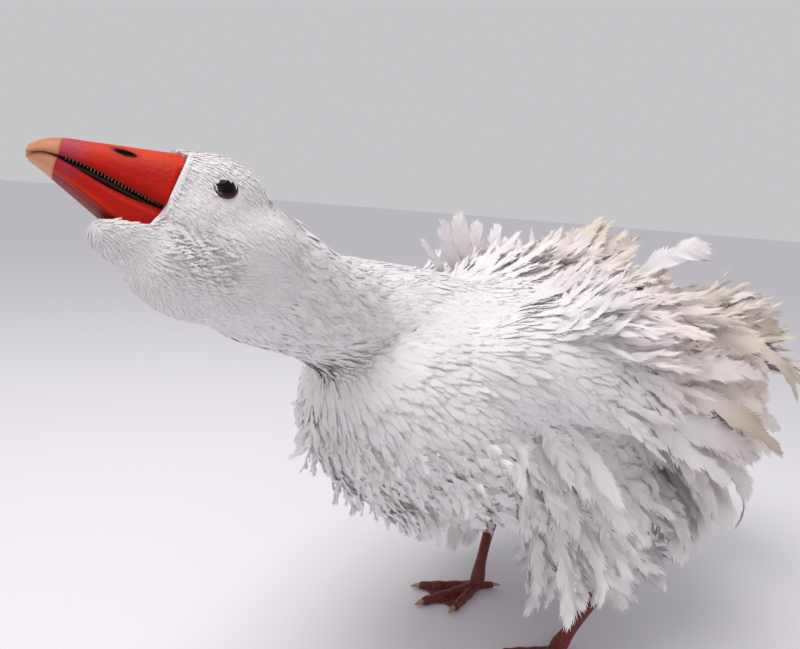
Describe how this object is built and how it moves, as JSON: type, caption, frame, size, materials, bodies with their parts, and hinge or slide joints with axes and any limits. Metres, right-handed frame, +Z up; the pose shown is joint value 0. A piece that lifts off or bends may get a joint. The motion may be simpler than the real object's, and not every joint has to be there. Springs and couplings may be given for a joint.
{
  "type": "sebastopol goose model",
  "caption": "Life-size still model of a white curly-feathered goose standing with its neck stretched low and forward, loose curled body feathers, bare orange bill and webbed feet.",
  "frame": {"origin": "bottom centre of the goose's bounding box, on the floor it stands on", "axes": "+Z up; the body faces -Y, so +Y runs towards the tail; the goose's left side is +X"},
  "size_m": [0.3892, 0.8706, 0.4565],
  "materials": {
    "feathers": "soft white plumage, cream on the long wing and tail feathers",
    "bill": "waxy orange-red horn, satin",
    "bill_nail": "pale peach horn, satin",
    "eyes": "wet, near black with a red-brown rim",
    "legs": "scaled skin, satin",
    "claws": "pale horn, satin"
  },
  "bodies": {
    "root": {"head": "feathers", "neck_upper": "feathers", "neck_lower": "feathers", "torso": "feathers", "wing_left": "feathers", "wing_right": "feathers", "tail": "feathers", "bill_upper": "bill", "bill_lower": "bill", "nail_upper": "bill_nail", "nail_lower": "bill_nail", "eye_left": "eyes", "eye_right": "eyes", "leg_left": "legs", "leg_right": "legs", "foot_left": "legs", "foot_right": "legs", "claw_left_inner": "claws", "claw_left_middle": "claws", "claw_left_outer": "claws", "claw_left_hind": "claws", "claw_right_inner": "claws", "claw_right_middle": "claws", "claw_right_outer": "claws", "claw_right_hind": "claws"}
  },
  "joints": []
}
